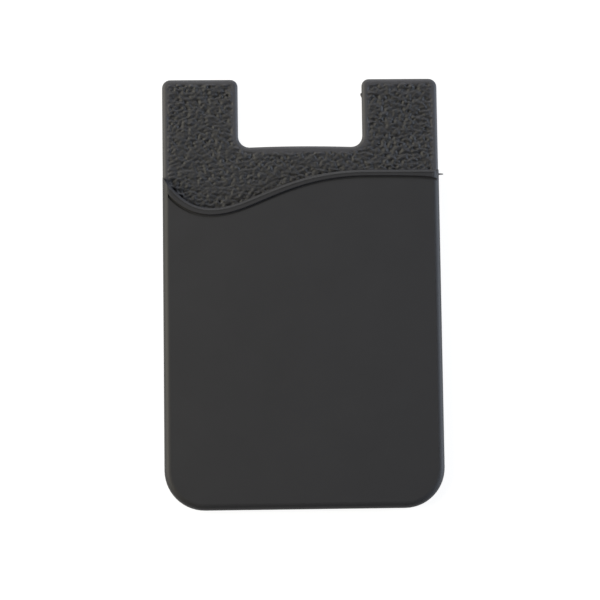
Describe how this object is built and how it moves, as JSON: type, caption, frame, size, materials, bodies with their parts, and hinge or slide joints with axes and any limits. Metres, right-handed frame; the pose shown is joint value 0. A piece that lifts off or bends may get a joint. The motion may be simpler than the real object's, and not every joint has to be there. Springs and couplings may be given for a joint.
{
  "type": "stick-on phone card holder",
  "caption": "Flat moulded silicone card pocket with an S-shaped lip, a grained back plate with two ears beside a finger notch, and an adhesive back.",
  "frame": {"origin": "on the liner's face, under the middle of the back plate's 56.5 by 88 mm outline", "axes": "+X to the right seen from the front, +Y along the holder towards its finger notch, +Z out of its front"},
  "size_m": [0.0573, 0.088, 0.0033],
  "materials": {
    "silicone": "matte black silicone, finely grained on the back plate",
    "adhesive": "double-sided acrylic foam tape",
    "liner": "glazed release paper"
  },
  "bodies": {
    "root": {"silicone_sleeve": "silicone", "adhesive_sheet": "adhesive", "release_liner": "liner"}
  },
  "joints": []
}
